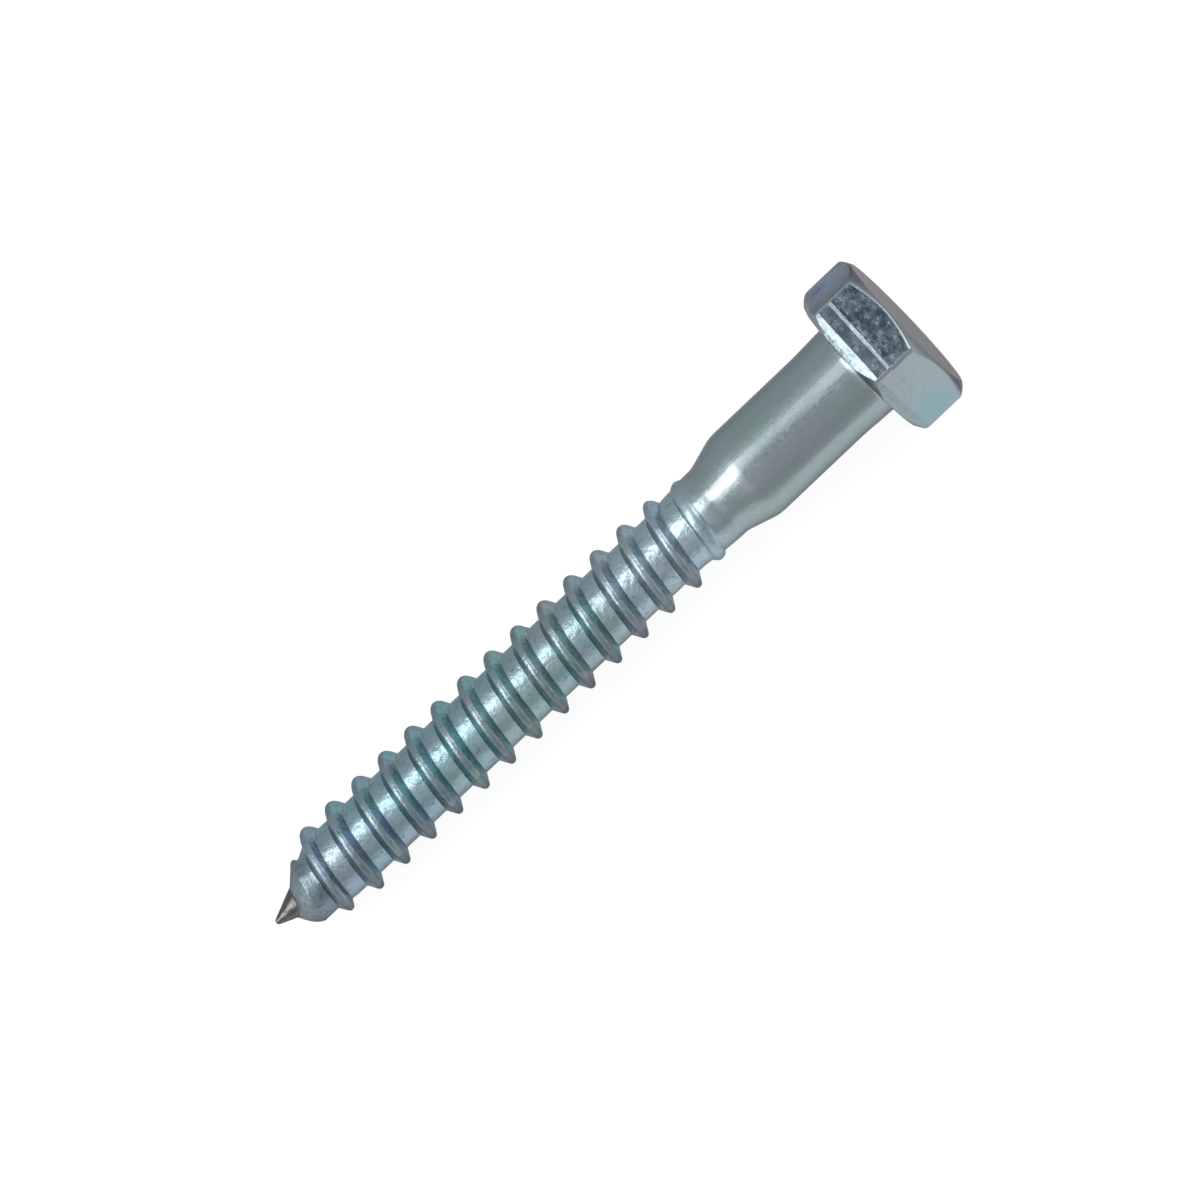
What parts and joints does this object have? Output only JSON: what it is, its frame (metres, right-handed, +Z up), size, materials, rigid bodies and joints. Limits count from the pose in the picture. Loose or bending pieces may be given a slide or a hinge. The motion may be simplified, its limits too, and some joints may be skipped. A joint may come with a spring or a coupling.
{
  "type": "hex lag screw",
  "caption": "Bright zinc lag screw with a hexagon head, smooth shank, coarse wood thread and gimlet point, lying at rest.",
  "frame": {"origin": "on the table, below the middle of the lying screw's length", "axes": "+X along the table towards the head, +Z up; the screw's own axis lies in the XZ plane and leans down to its point by about 2.5 degrees"},
  "size_m": [0.0674, 0.0144, 0.0128],
  "materials": {
    "zinc_plated_steel": "bright zinc with a blue-green clear coat, mottled, with bare steel at the nib"
  },
  "bodies": {
    "root": {"lag_screw": "zinc_plated_steel"}
  },
  "joints": []
}
